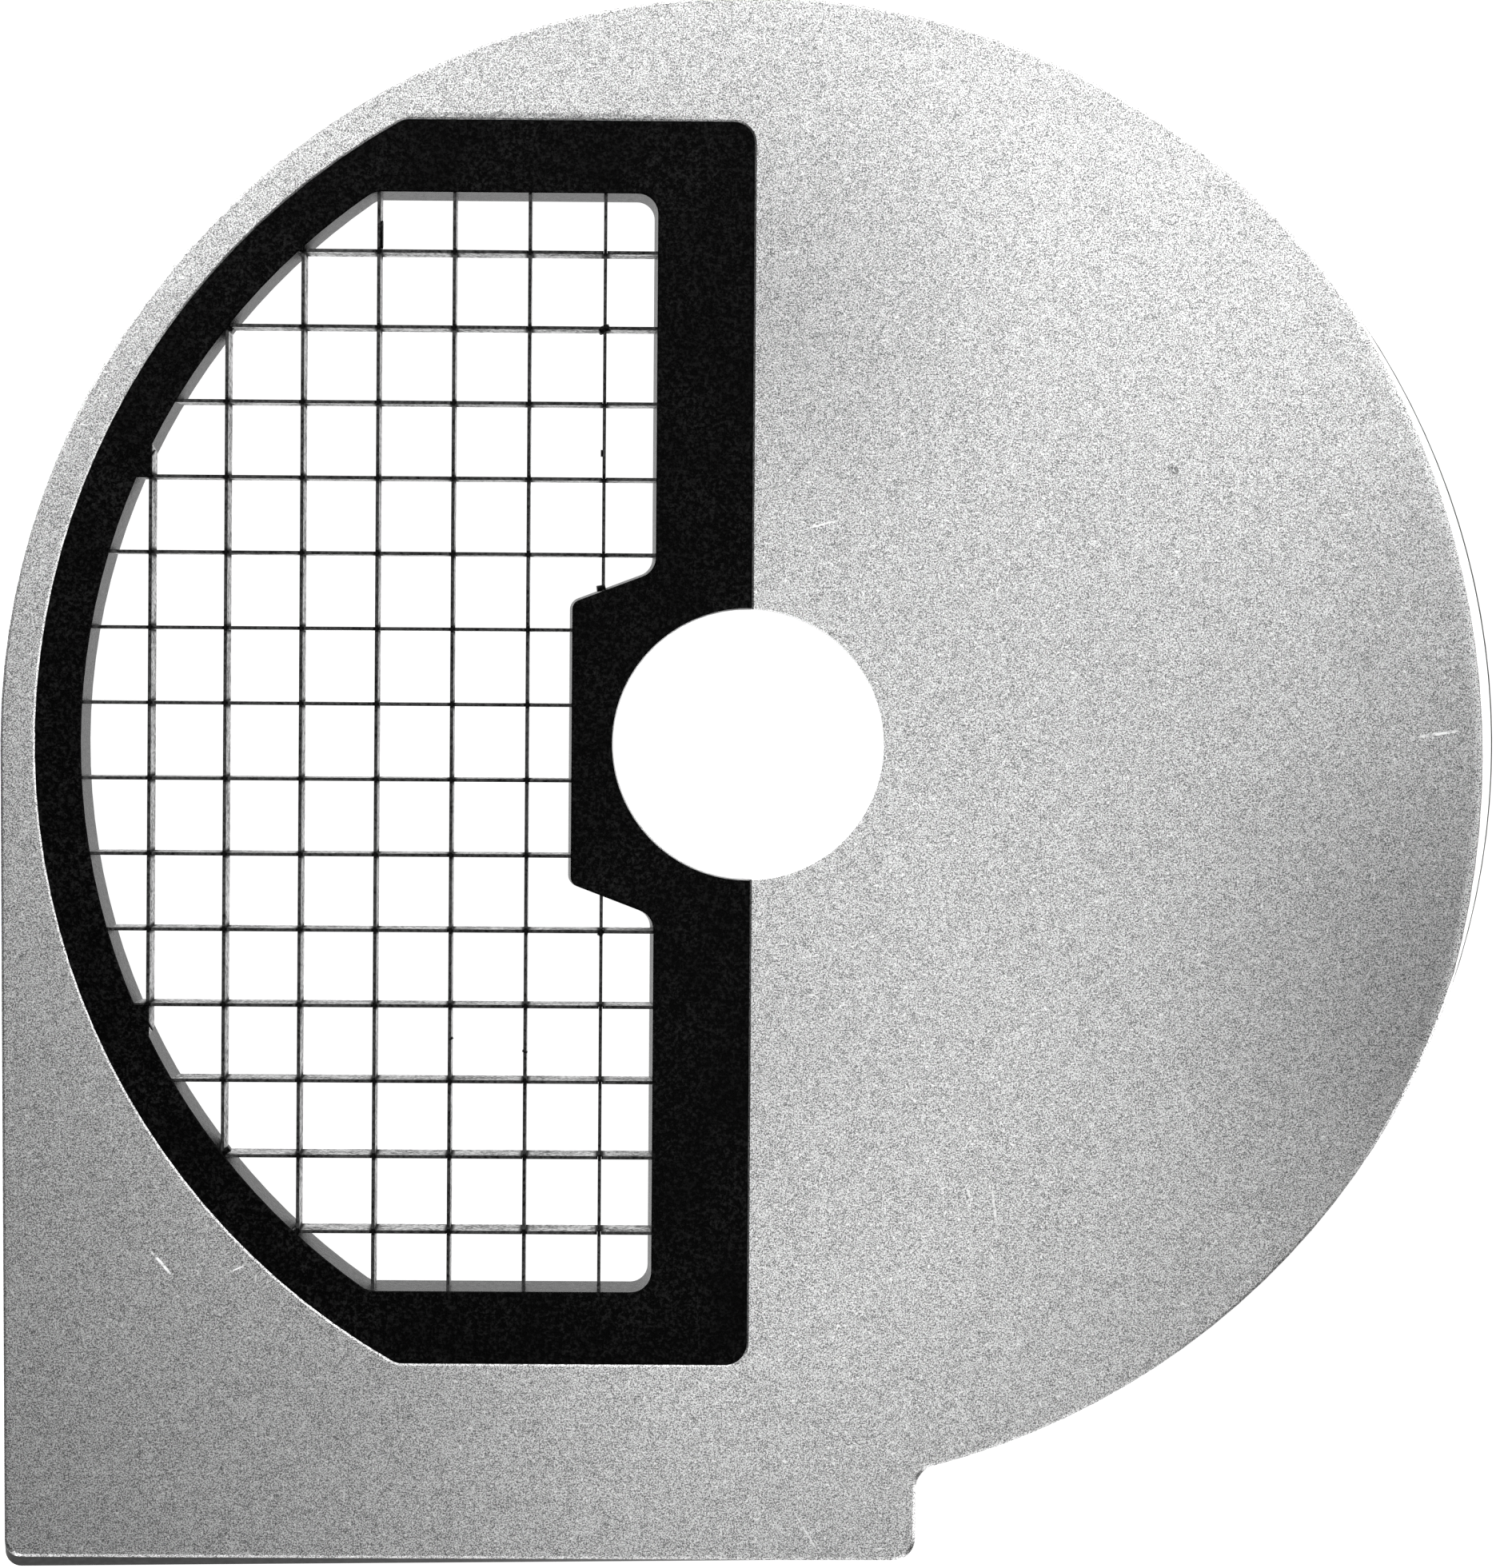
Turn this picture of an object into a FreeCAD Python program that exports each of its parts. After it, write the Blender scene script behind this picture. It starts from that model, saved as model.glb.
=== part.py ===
import FreeCAD, Part
import math
import os

# Dicing grid plate of a powered vegetable cutter, in millimetres.
# The plate lies flat: its underside is z = 0 and its working face looks up.
# The origin is on the axis of the hub hole. Food is pushed down through the
# grid on the -X side, and the machine's drive shaft passes through the hub.

Vector = FreeCAD.Vector

# Cast aluminium carrier plate
PLATE_RADIUS = 102.0
PLATE_HEIGHT = 14.0
BODY_TOP = 12.3             # where the straight outer wall ends and the edge slope starts
EDGE_SHOULDER = 13.75       # where the slope turns into the softened top edge
EDGE_SLOPE = 0.1            # how far the slope leans in round the disc
EDGE_SOFTENING = 0.35
FOOT_LEFT_X = -100.7        # the left side leans in slightly towards the foot
FOOT_LEFT_Y = -113.0        # the front wall slopes most at its left end
FOOT_RIGHT_X = 23.6
FOOT_RIGHT_Y = -111.5
FOOT_LEFT_CORNER = 2.2
FOOT_RIGHT_CORNER = 3.0
FOOT_NECK_FILLET = 3.4

# Slope worn into the right of the rim: a shallow cone about an axis left of the
# hub cuts a crescent that is widest a little behind the +X direction
CRESCENT_WIDTH = 1.6
CRESCENT_RADIUS = 113.5
CRESCENT_DROP = 1.7
CRESCENT_TURN = 8.0

# Underside of the casting: parallel lightening channels with ribs between them
OUTER_WALL = 4.0
POCKET_WALL = 3.5
HUB_WALL_RADIUS = 25.0
CHANNEL_DEPTH = 9.5
CHANNEL_WIDTH = 14.5
RIB_THICKNESS = 3.0
CHANNEL_CORNER = 2.5

# Hub
HUB_BORE_RADIUS = 18.45
HUB_SLEEVE_RADIUS = 21.3
FRAME_HUB_RADIUS = 18.6

# Pocket that the grid frame sits in, and the ledge under it
POCKET_RADIUS = 97.25
POCKET_HALF_WIDTH = 84.9
POCKET_RIGHT_X = 0.4
POCKET_CORNER = 3.0
POCKET_EDGE = 0.25          # chamfer round the pocket's top edge
LEDGE_BOTTOM = 5.5
LEDGE_TOP = 8.7

# Moulded grid frame
FRAME_TOP = 13.7
FRAME_BOTTOM = 0.6
FRAME_CLEARANCE = 0.08
FRAME_LEG = 3.2             # wall of the deep inner leg round the window
LEG_CLEARANCE = 0.1
WINDOW_RADIUS = 90.95
WINDOW_HALF_WIDTH = 75.0
WINDOW_RIGHT_X = -12.75
WINDOW_CORNER = 2.8
WINDOW_EDGE = 0.15          # chamfer round the window's top edge
WINDOW_DRAFT = 0.4          # the window is this much tighter all round at the bottom
BUMP_X = -24.1              # the frame steps out round the hub
BUMP_TIP_HALF_WIDTH = 19.2
BUMP_ROOT_HALF_WIDTH = 23.5
BUMP_CORNER = 1.3

# Blades
CUBE_PITCH = 10.3
LONG_COUNT = 7
CROSS_COUNT = 14
FIRST_LONG_X = -19.9
BLADE_THICKNESS = 0.45
BLADE_EDGE_WIDTH = 0.35     # flat left on top between the two deburred corners
BLADE_EDGE_HEIGHT = 0.15
BLADE_TOP = 13.3
BLADE_BOTTOM = 1.7
BLADE_MIDDLE = (BLADE_TOP + BLADE_BOTTOM) / 2
BLADE_TAIL = 2.4            # length moulded into the frame at each end
ANCHOR_RADIUS = 0.7
ANCHOR_INSET = 1.2
NOTCH_CLEARANCE = 0.03
# Slivers between a crossing and the round side of the window that the moulding
# fills, as (long blade, cross blade counted from the middle)
FILLED_CORNERS = ((6, 3), (4, 6))

# M3 x 6 countersunk screws through the ledge, into brass inserts
SCREW_BAR_Y = 81.6
SCREW_BAR_X = (-40.0, -18.0)
SCREW_POST_X = -4.5
SCREW_POST_Y = (34.0, 60.0)
SCREW_RADIUS = 1.45
SCREW_LENGTH = 6.0
SCREW_HEAD_RADIUS = 2.75
SCREW_HOLE_RADIUS = 1.7
COUNTERSINK_RADIUS = 2.9
SOCKET_RADIUS = 1.15
SOCKET_DEPTH = 1.0
INSERT_RADIUS = 2.25
INSERT_BORE = 1.5
INSERT_LENGTH = 4.0
INSERT_GROOVE = 0.25
INSERT_GROOVE_HEIGHTS = (0.8, 2.5)
INSERT_GROOVE_WIDTH = 0.7

OVERCUT = 5.0               # how far a cutting tool runs past the face it opens


def disc(radius, x=0.0, y=0.0):
    """A round flat face at z = 0."""
    return Part.Face(Part.Wire(Part.makeCircle(radius, Vector(x, y, 0))))


def polygon(points):
    """A flat face at z = 0 through the given (x, y) corners."""
    corners = [Vector(x, y, 0) for x, y in points]
    return Part.Face(Part.makePolygon(corners + corners[:1]))


def rectangle(left, right, front, back):
    """A flat rectangle at z = 0."""
    return polygon([(left, front), (right, front), (right, back), (left, back)])


def round_outward_corners(face, radius):
    """Shrink and regrow a face, which rounds the corners that point outwards."""
    return face.makeOffset2D(-radius).makeOffset2D(radius)


def round_inward_corners(face, radius):
    """Grow and shrink a face again, which rounds the corners that point inwards."""
    return face.makeOffset2D(radius).makeOffset2D(-radius)


def prism(face, bottom, top):
    """Extrude a flat face between two heights."""
    return face.translated(Vector(0, 0, bottom)).extrude(Vector(0, 0, top - bottom))


def flare(face, size, top):
    """A cutter that chamfers the edge of a hole of the given outline by size."""
    lower = face.OuterWire.translated(Vector(0, 0, top - size))
    upper = face.makeOffset2D(size * 2).OuterWire.translated(Vector(0, 0, top + size))
    return Part.makeLoft([lower, upper], True, True)


def cylinder(radius, bottom, top, x=0.0, y=0.0):
    """An upright cylinder between two heights."""
    return Part.makeCylinder(radius, top - bottom, Vector(x, y, bottom))


def round_corner(before, corner, after, radius):
    """The start, middle and end of the arc that rounds a corner between two straight lines."""
    to_before = (before - corner).normalize()
    to_after = (after - corner).normalize()
    half_angle = to_before.getAngle(to_after) / 2
    bisector = (to_before + to_after).normalize()
    tangent_length = radius / math.tan(half_angle)
    centre = corner + bisector * (radius / math.sin(half_angle))
    start = corner + to_before * tangent_length
    end = corner + to_after * tangent_length
    return start, centre - bisector * radius, end


def plate_outline(radius, inset, foot_left_y, foot_right_y):
    """The plate's closed outline: a disc with a square foot at the front left.

    The foot runs from the disc's leftmost point down to the front edge, and
    ends on the right in a short side that meets the disc in a small fillet.
    """
    left = Vector(-radius, 0, 0)
    front_left = Vector(FOOT_LEFT_X + inset, foot_left_y, 0)
    front_right = Vector(FOOT_RIGHT_X - inset, foot_right_y, 0)
    neck_x = front_right.x + FOOT_NECK_FILLET
    reach = radius + FOOT_NECK_FILLET
    neck = Vector(neck_x, -math.sqrt(reach ** 2 - neck_x ** 2), 0)
    side_top = Vector(front_right.x, neck.y, 0)
    on_disc = neck * (radius / reach)
    neck_middle = neck + ((side_top + on_disc) / 2 - neck).normalize() * FOOT_NECK_FILLET
    far_side = Vector(radius, 0, 0)
    left_arc = round_corner(left, front_left, front_right, FOOT_LEFT_CORNER)
    right_arc = round_corner(front_left, front_right, side_top, FOOT_RIGHT_CORNER)
    edges = [
        Part.makeLine(left, left_arc[0]),
        Part.Arc(*left_arc).toShape(),
        Part.makeLine(left_arc[2], right_arc[0]),
        Part.Arc(*right_arc).toShape(),
        Part.makeLine(right_arc[2], side_top),
        Part.Arc(side_top, neck_middle, on_disc).toShape(),
        Part.Arc(on_disc, far_side, left).toShape(),
    ]
    return Part.Wire(edges)


def base_outline():
    """The plate's outline at its straight outer wall."""
    return plate_outline(PLATE_RADIUS, 0.0, FOOT_LEFT_Y, FOOT_RIGHT_Y)


def plate_body():
    """The solid plate: a straight wall, then a sloped and softened top edge."""
    base = base_outline()
    shoulder_radius = PLATE_RADIUS - EDGE_SLOPE
    face_radius = shoulder_radius - EDGE_SOFTENING
    face_front = FOOT_RIGHT_Y + EDGE_SOFTENING
    shoulder = plate_outline(shoulder_radius, 0.0, FOOT_RIGHT_Y, FOOT_RIGHT_Y)
    face = plate_outline(face_radius, EDGE_SOFTENING, face_front, face_front)
    levels = ((base, BODY_TOP), (shoulder, EDGE_SHOULDER), (face, PLATE_HEIGHT))
    wires = [wire.translated(Vector(0, 0, height)) for wire, height in levels]
    edge = Part.makeLoft(wires, True, True)
    return prism(Part.Face(base), 0, BODY_TOP).fuse(edge)


def crescent_cutter():
    """What the worn slope on the right of the rim takes away."""
    axis_x = PLATE_RADIUS - CRESCENT_WIDTH - CRESCENT_RADIUS
    bottom = PLATE_HEIGHT - CRESCENT_DROP
    top = PLATE_HEIGHT + OVERCUT
    bottom_radius = CRESCENT_RADIUS + CRESCENT_WIDTH
    top_radius = CRESCENT_RADIUS - OVERCUT * CRESCENT_WIDTH / CRESCENT_DROP
    cone = Part.makeCone(bottom_radius, top_radius, top - bottom, Vector(axis_x, 0, bottom))
    right_half = rectangle(0, PLATE_RADIUS + OVERCUT, -PLATE_RADIUS, PLATE_RADIUS)
    cutter = prism(right_half, bottom, top).cut(cone)
    return cutter.rotated(Vector(0, 0, 0), Vector(0, 0, 1), CRESCENT_TURN)


def pocket_face():
    """Outline of the pocket for the grid frame."""
    bounds = rectangle(-PLATE_RADIUS, POCKET_RIGHT_X, -POCKET_HALF_WIDTH, POCKET_HALF_WIDTH)
    return round_outward_corners(disc(POCKET_RADIUS).common(bounds).Faces[0], POCKET_CORNER)


def window_face():
    """Outline of the cutting window at the frame's top, stepped round the hub."""
    bounds = rectangle(-PLATE_RADIUS, WINDOW_RIGHT_X, -WINDOW_HALF_WIDTH, WINDOW_HALF_WIDTH)
    bump = polygon([
        (WINDOW_RIGHT_X + OVERCUT, BUMP_ROOT_HALF_WIDTH),
        (WINDOW_RIGHT_X, BUMP_ROOT_HALF_WIDTH),
        (BUMP_X, BUMP_TIP_HALF_WIDTH),
        (BUMP_X, -BUMP_TIP_HALF_WIDTH),
        (WINDOW_RIGHT_X, -BUMP_ROOT_HALF_WIDTH),
        (WINDOW_RIGHT_X + OVERCUT, -BUMP_ROOT_HALF_WIDTH),
    ])
    opening = disc(WINDOW_RADIUS).common(bounds).cut(bump).Faces[0]
    return round_inward_corners(round_outward_corners(opening, WINDOW_CORNER), BUMP_CORNER)


def lightening_channels():
    """Parallel channels in the casting's underside, clear of its walls and hub."""
    inside = Part.Face(base_outline()).makeOffset2D(-OUTER_WALL)
    kept = pocket_face().makeOffset2D(POCKET_WALL).fuse(disc(HUB_WALL_RADIUS))
    area = inside.cut(kept)
    pitch = CHANNEL_WIDTH + RIB_THICKNESS
    count = int(PLATE_RADIUS / pitch) + 1
    channels = []
    for index in range(-count, count + 1):
        front = index * pitch - CHANNEL_WIDTH / 2
        strip = rectangle(-PLATE_RADIUS, PLATE_RADIUS, front, front + CHANNEL_WIDTH)
        for piece in area.common(strip).Faces:
            if piece.Area > CHANNEL_WIDTH ** 2:
                rounded = round_outward_corners(piece, CHANNEL_CORNER)
                channels.append(prism(rounded, -OVERCUT, CHANNEL_DEPTH))
    return channels


def screw_places():
    """Screw positions: two in each end bar and two in the post on each side of the hub."""
    right_half = [(x, SCREW_BAR_Y) for x in SCREW_BAR_X] + [(SCREW_POST_X, y) for y in SCREW_POST_Y]
    return right_half + [(x, -y) for x, y in right_half]


def countersunk_hole(x, y):
    """A screw hole through the ledge, countersunk from below."""
    sink_depth = COUNTERSINK_RADIUS - SCREW_HOLE_RADIUS
    place = Vector(x, y, LEDGE_BOTTOM)
    sink = Part.makeCone(COUNTERSINK_RADIUS, SCREW_HOLE_RADIUS, sink_depth, place)
    return cylinder(SCREW_HOLE_RADIUS, LEDGE_BOTTOM, LEDGE_TOP + OVERCUT, x, y).fuse(sink)


def make_carrier_plate():
    """The casting: plate, pocket with its ledge, hub sleeve and lightening channels."""
    sleeve = cylinder(HUB_SLEEVE_RADIUS, 0, LEDGE_TOP)
    pocket = pocket_face()
    leg_space = window_face().makeOffset2D(FRAME_LEG + LEG_CLEARANCE)
    under_ledge = prism(pocket, -OVERCUT, LEDGE_BOTTOM).cut(sleeve)
    leg_opening = prism(leg_space, -OVERCUT, LEDGE_TOP).cut(sleeve)
    cuts = [prism(pocket, LEDGE_TOP, PLATE_HEIGHT + OVERCUT), under_ledge, leg_opening]
    cuts += lightening_channels()
    cuts += [countersunk_hole(x, y) for x, y in screw_places()]
    cuts += [flare(pocket, POCKET_EDGE, PLATE_HEIGHT), crescent_cutter()]
    cuts += [cylinder(HUB_BORE_RADIUS, -OVERCUT, PLATE_HEIGHT + OVERCUT)]
    return plate_body().cut(cuts).removeSplitter()


def window_cutter():
    """The tapered hole through the frame, less the slivers that the moulding fills."""
    top = window_face()
    draft_per_mm = WINDOW_DRAFT / (FRAME_TOP - FRAME_BOTTOM)
    below = FRAME_BOTTOM - OVERCUT
    above = FRAME_TOP + OVERCUT
    lower = top.makeOffset2D(-draft_per_mm * (FRAME_TOP - below)).OuterWire
    upper = top.makeOffset2D(draft_per_mm * (above - FRAME_TOP)).OuterWire
    wires = [lower.translated(Vector(0, 0, below)), upper.translated(Vector(0, 0, above))]
    cutter = Part.makeLoft(wires, True, True).fuse(flare(top, WINDOW_EDGE, FRAME_TOP))
    fills = []
    for long_index, cross_index in FILLED_CORNERS:
        x = long_blade_x(long_index)
        y = cross_blade_y(CROSS_COUNT // 2 + cross_index)
        for side in (1, -1):
            front, back = sorted((side * y, side * PLATE_RADIUS))
            fills.append(prism(rectangle(-PLATE_RADIUS, x, front, back), below, above))
    return cutter.cut(fills)


def make_grid_frame(blade_blanks, insert_blanks):
    """The moulded frame: a rim on the ledge and a deep leg round the window."""
    rim = prism(pocket_face().makeOffset2D(-FRAME_CLEARANCE), LEDGE_TOP, FRAME_TOP)
    sleeve_space = cylinder(HUB_SLEEVE_RADIUS + LEG_CLEARANCE, FRAME_BOTTOM, LEDGE_TOP)
    leg = prism(window_face().makeOffset2D(FRAME_LEG), FRAME_BOTTOM, LEDGE_TOP).cut(sleeve_space)
    hub_hole = cylinder(FRAME_HUB_RADIUS, FRAME_BOTTOM, FRAME_TOP + OVERCUT)
    return rim.fuse(leg).cut([window_cutter(), hub_hole] + blade_blanks + insert_blanks).removeSplitter()


def long_blade_x(index):
    """Position of a long blade, counted from the hub outwards."""
    return FIRST_LONG_X - index * CUBE_PITCH


def cross_blade_y(index):
    """Position of a cross blade, counted from the front to the back."""
    return (index - (CROSS_COUNT - 1) / 2) * CUBE_PITCH


def bump_half_width(x):
    """Half the width of the step round the hub, where it slopes between its tip and its root."""
    along = (x - BUMP_X) / (WINDOW_RIGHT_X - BUMP_X)
    return BUMP_TIP_HALF_WIDTH + along * (BUMP_ROOT_HALF_WIDTH - BUMP_TIP_HALF_WIDTH)


def long_blade_spans():
    """Every long blade as its name, its x and its two ends in y, tails included."""
    spans = []
    for index in range(LONG_COUNT):
        x = long_blade_x(index)
        reach = min(WINDOW_HALF_WIDTH, math.sqrt(WINDOW_RADIUS ** 2 - x ** 2)) + BLADE_TAIL
        name = f"long_blade_{index + 1}"
        if x > BUMP_X:
            inner = bump_half_width(x) - BLADE_TAIL
            spans.append((name + "_back", x, inner, reach))
            spans.append((name + "_front", x, -reach, -inner))
        else:
            spans.append((name, x, -reach, reach))
    return spans


def cross_blade_spans():
    """Every cross blade as its name, its y and its two ends in x, tails included."""
    spans = []
    for index in range(CROSS_COUNT):
        y = cross_blade_y(index)
        left = -math.sqrt(WINDOW_RADIUS ** 2 - y ** 2) - BLADE_TAIL
        right = BUMP_X if abs(y) < BUMP_TIP_HALF_WIDTH else WINDOW_RIGHT_X
        spans.append((f"cross_blade_{index + 1:02d}", y, left, right + BLADE_TAIL))
    return spans


def blade_blank(start, end):
    """A strip along X with deburred top corners and an anchor hole in each tail."""
    half = BLADE_THICKNESS / 2
    flat = BLADE_EDGE_WIDTH / 2
    ground = BLADE_TOP - BLADE_EDGE_HEIGHT
    section = [(-half, BLADE_BOTTOM), (half, BLADE_BOTTOM), (half, ground)]
    section += [(flat, BLADE_TOP), (-flat, BLADE_TOP), (-half, ground)]
    corners = [Vector(start, y, z) for y, z in section]
    strip = Part.Face(Part.makePolygon(corners + corners[:1])).extrude(Vector(end - start, 0, 0))
    holes = []
    for x in (start + ANCHOR_INSET, end - ANCHOR_INSET):
        side = Vector(x, -BLADE_THICKNESS, BLADE_MIDDLE)
        holes.append(Part.makeCylinder(ANCHOR_RADIUS, BLADE_THICKNESS * 2, side, Vector(0, 1, 0)))
    return strip.cut(holes)


def notches(places, bottom, top):
    """The half-lap slots of a strip along X, at the given x places."""
    half = BLADE_THICKNESS / 2 + NOTCH_CLEARANCE
    depth = BLADE_THICKNESS
    return [prism(rectangle(x - half, x + half, -depth, depth), bottom, top) for x in places]


def make_blades():
    """All blades and their un-notched blanks, the long ones slotted below and the cross ones above."""
    longs = long_blade_spans()
    crosses = cross_blade_spans()
    blades = {}
    blanks = []
    for name, x, start, end in longs:
        crossings = [y for _, y, left, right in crosses if start < y < end and left < x < right]
        blank = blade_blank(start, end)
        blade = blank.cut(notches(crossings, BLADE_BOTTOM - OVERCUT, BLADE_MIDDLE + NOTCH_CLEARANCE))
        for shape in (blank, blade):
            shape.rotate(Vector(0, 0, 0), Vector(0, 0, 1), 90)
            shape.translate(Vector(x, 0, 0))
        blanks.append(blank)
        blades[name] = blade
    for name, y, start, end in crosses:
        crossings = [x for _, x, front, back in longs if start < x < end and front < y < back]
        blank = blade_blank(start, end)
        blade = blank.cut(notches(crossings, BLADE_MIDDLE - NOTCH_CLEARANCE, BLADE_TOP + OVERCUT))
        for shape in (blank, blade):
            shape.translate(Vector(0, y, 0))
        blanks.append(blank)
        blades[name] = blade
    return blades, blanks


def make_screw(x, y):
    """A countersunk screw, head down, with a hexagon socket."""
    head_height = SCREW_HEAD_RADIUS - SCREW_RADIUS
    head = Part.makeCone(SCREW_HEAD_RADIUS, SCREW_RADIUS, head_height, Vector(0, 0, LEDGE_BOTTOM))
    shank = cylinder(SCREW_RADIUS, LEDGE_BOTTOM, LEDGE_BOTTOM + SCREW_LENGTH)
    turns = [math.radians(60 * corner) for corner in range(6)]
    corners = [(SOCKET_RADIUS * math.cos(turn), SOCKET_RADIUS * math.sin(turn)) for turn in turns]
    socket = prism(polygon(corners), LEDGE_BOTTOM - OVERCUT, LEDGE_BOTTOM + SOCKET_DEPTH)
    return head.fuse(shank).cut(socket).removeSplitter().translated(Vector(x, y, 0))


def insert_blank(x, y):
    """The outside of a brass insert, with two grooves that the moulding grips."""
    body = cylinder(INSERT_RADIUS, LEDGE_TOP, LEDGE_TOP + INSERT_LENGTH, x, y)
    grooves = []
    for height in INSERT_GROOVE_HEIGHTS:
        bottom = LEDGE_TOP + height
        outer = cylinder(INSERT_RADIUS + OVERCUT, bottom, bottom + INSERT_GROOVE_WIDTH, x, y)
        core = cylinder(INSERT_RADIUS - INSERT_GROOVE, bottom, bottom + INSERT_GROOVE_WIDTH, x, y)
        grooves.append(outer.cut(core))
    return body.cut(grooves)


def make_insert(x, y):
    """A brass insert with its bore."""
    return insert_blank(x, y).cut(cylinder(INSERT_BORE, 0, PLATE_HEIGHT, x, y))


def build():
    """Every node of the assembly by name."""
    blades, blade_blanks = make_blades()
    places = screw_places()
    nodes = {
        "carrier_plate": make_carrier_plate(),
        "grid_frame": make_grid_frame(blade_blanks, [insert_blank(x, y) for x, y in places]),
        "frame_screws": Part.makeCompound([make_screw(x, y) for x, y in places]),
        "frame_inserts": Part.makeCompound([make_insert(x, y) for x, y in places]),
    }
    nodes.update(blades)
    return nodes


def main():
    """Write one STEP file per node."""
    os.makedirs("parts", exist_ok=True)
    for name, shape in build().items():
        shape.exportStep(f"parts/{name}.step")


main()
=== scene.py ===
"""Finishes and studio stage for a dicing grid plate of a powered vegetable cutter.

The shapes of the plate, the moulded frame, the blades and the fasteners come
from the loaded frame. The operators here give each of them its material, model
the bits of moulding flash that stick to the blades and the dark chips that stand in
for shade at blade crossings, and set up the stage.
Lengths are in metres unless a name ends in _mm or _MM.
"""

import math

import bmesh
import bpy
from mathutils import Matrix, Vector


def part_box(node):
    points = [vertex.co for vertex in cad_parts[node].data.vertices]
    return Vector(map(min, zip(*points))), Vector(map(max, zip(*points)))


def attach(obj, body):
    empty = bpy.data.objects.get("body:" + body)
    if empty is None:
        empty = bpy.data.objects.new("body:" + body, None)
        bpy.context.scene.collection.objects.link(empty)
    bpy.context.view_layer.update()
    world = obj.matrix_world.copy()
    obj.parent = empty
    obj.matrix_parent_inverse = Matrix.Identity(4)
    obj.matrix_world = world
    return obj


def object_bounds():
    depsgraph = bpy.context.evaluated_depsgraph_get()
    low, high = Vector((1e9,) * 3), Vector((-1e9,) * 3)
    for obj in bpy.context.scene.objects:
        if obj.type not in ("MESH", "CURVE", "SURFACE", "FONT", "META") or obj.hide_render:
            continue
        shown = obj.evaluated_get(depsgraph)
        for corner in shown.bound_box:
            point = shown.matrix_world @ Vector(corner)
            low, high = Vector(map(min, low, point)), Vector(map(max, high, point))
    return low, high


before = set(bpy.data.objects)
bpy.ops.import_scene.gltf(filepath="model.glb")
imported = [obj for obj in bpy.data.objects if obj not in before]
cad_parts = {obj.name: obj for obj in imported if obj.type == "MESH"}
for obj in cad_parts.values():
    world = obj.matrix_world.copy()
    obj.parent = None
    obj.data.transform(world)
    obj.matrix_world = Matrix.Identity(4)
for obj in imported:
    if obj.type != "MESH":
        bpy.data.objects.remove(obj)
CAD_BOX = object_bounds()

bl_info = {
    "name": "Dicing Grid Plate",
    "version": (1, 0, 0),
    "blender": (4, 5, 0),
    "location": "3D View > Sidebar > Dicing Grid",
    "description": "Finishes for a vegetable cutter's dicing grid plate, and its studio stage",
    "category": "Object",
}

MM = 0.001
BODY = "root"


def linear_colour(hex_colour):
    """Turn an sRGB hex colour into linear RGB."""
    channels = [int(hex_colour[place:place + 2], 16) / 255 for place in (1, 3, 5)]
    return [c / 12.92 if c <= 0.04045 else ((c + 0.055) / 1.055) ** 2.4 for c in channels]


def colour_property(name, description, hex_colour):
    """A colour that a user can change, given as sRGB hex."""
    colour = linear_colour(hex_colour)
    return bpy.props.FloatVectorProperty(
        name=name, description=description, subtype="COLOR", size=3, min=0, max=1, default=colour
    )


def roughness_property(description, default):
    """A roughness that a user can change."""
    return bpy.props.FloatProperty(
        name="Roughness", description=description, default=default, min=0, max=1, subtype="FACTOR"
    )


class CastingSettings(bpy.types.PropertyGroup):
    """Blasted cast aluminium of the carrier plate."""

    metal: colour_property("Metal", "Colour of the blasted aluminium", "#F2F2F2")
    pit: colour_property("Pit", "Colour in the small pits that blasting leaves", "#666666")
    # The walls' dark colour is partly the as-cast skin and partly painted shade on the side walls
    skin: colour_property("Casting skin", "Colour of the walls left as cast", "#4E4E4E")
    # Also paints the highlight band on the face beside the worn slope
    worn: colour_property("Worn metal", "Colour of turned, worn and scratched metal", "#FAFAFA")
    # Also the colour of the painted shade zones and of the painted shadow along the back of the frame
    dirt_and_shade: colour_property("Dirt", "Colour of dents and grime", "#3C3C3C")
    grit_mm: bpy.props.FloatProperty(
        name="Grit", description="Size of one blasted pit, in millimetres", default=0.18, min=0.05
    )
    roughness: roughness_property("Roughness of the blasted face", 0.3)


class NylonSettings(bpy.types.PropertyGroup):
    """Black glass-filled nylon of the grid frame."""

    body: colour_property("Nylon", "Colour of the moulded nylon", "#010101")
    fibre: colour_property("Fibre", "Colour where glass fibres lie near the skin", "#1C1C1C")
    fibre_mm: bpy.props.FloatProperty(
        name="Fibre spots", description="Size of the fibre spots, in millimetres", default=0.5, min=0.1
    )
    roughness: roughness_property("Roughness of the moulded skin", 0.28)


class SteelSettings(bpy.types.PropertyGroup):
    """Rolled stainless strip of the blades, and the screws and inserts."""

    strip: colour_property("Strip", "Colour of the rolled strip", "#D4D4D4")
    # Also paints the shade on the blade tops and at the crossings
    stain: colour_property("Stain", "Colour of tarnish and food residue", "#0A0A0A")
    brass: colour_property("Brass", "Colour of the threaded inserts", "#C9A15B")
    roughness: roughness_property("Roughness of the rolled strip", 0.35)


class StageSettings(bpy.types.PropertyGroup):
    """Floor, lights and camera."""

    floor: colour_property("Floor", "Colour of the opal floor panel", "#606060")
    floor_glow: bpy.props.FloatProperty(
        name="Floor glow", description="Light that the floor gives off", default=1.02, min=0
    )
    power: bpy.props.FloatProperty(
        name="Light power", description="Factor on the power of all lights", default=1.0, min=0
    )
    camera_height: bpy.props.FloatProperty(
        name="Camera height",
        description="Height of the camera above the working face",
        default=1.0,
        min=0.2,
        unit="LENGTH",
    )
    view_width: bpy.props.FloatProperty(
        name="View width",
        description="Width of the view at the working face",
        default=0.2047,
        min=0.05,
        unit="LENGTH",
    )


# ---------------------------------------------------------------- shader help


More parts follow.
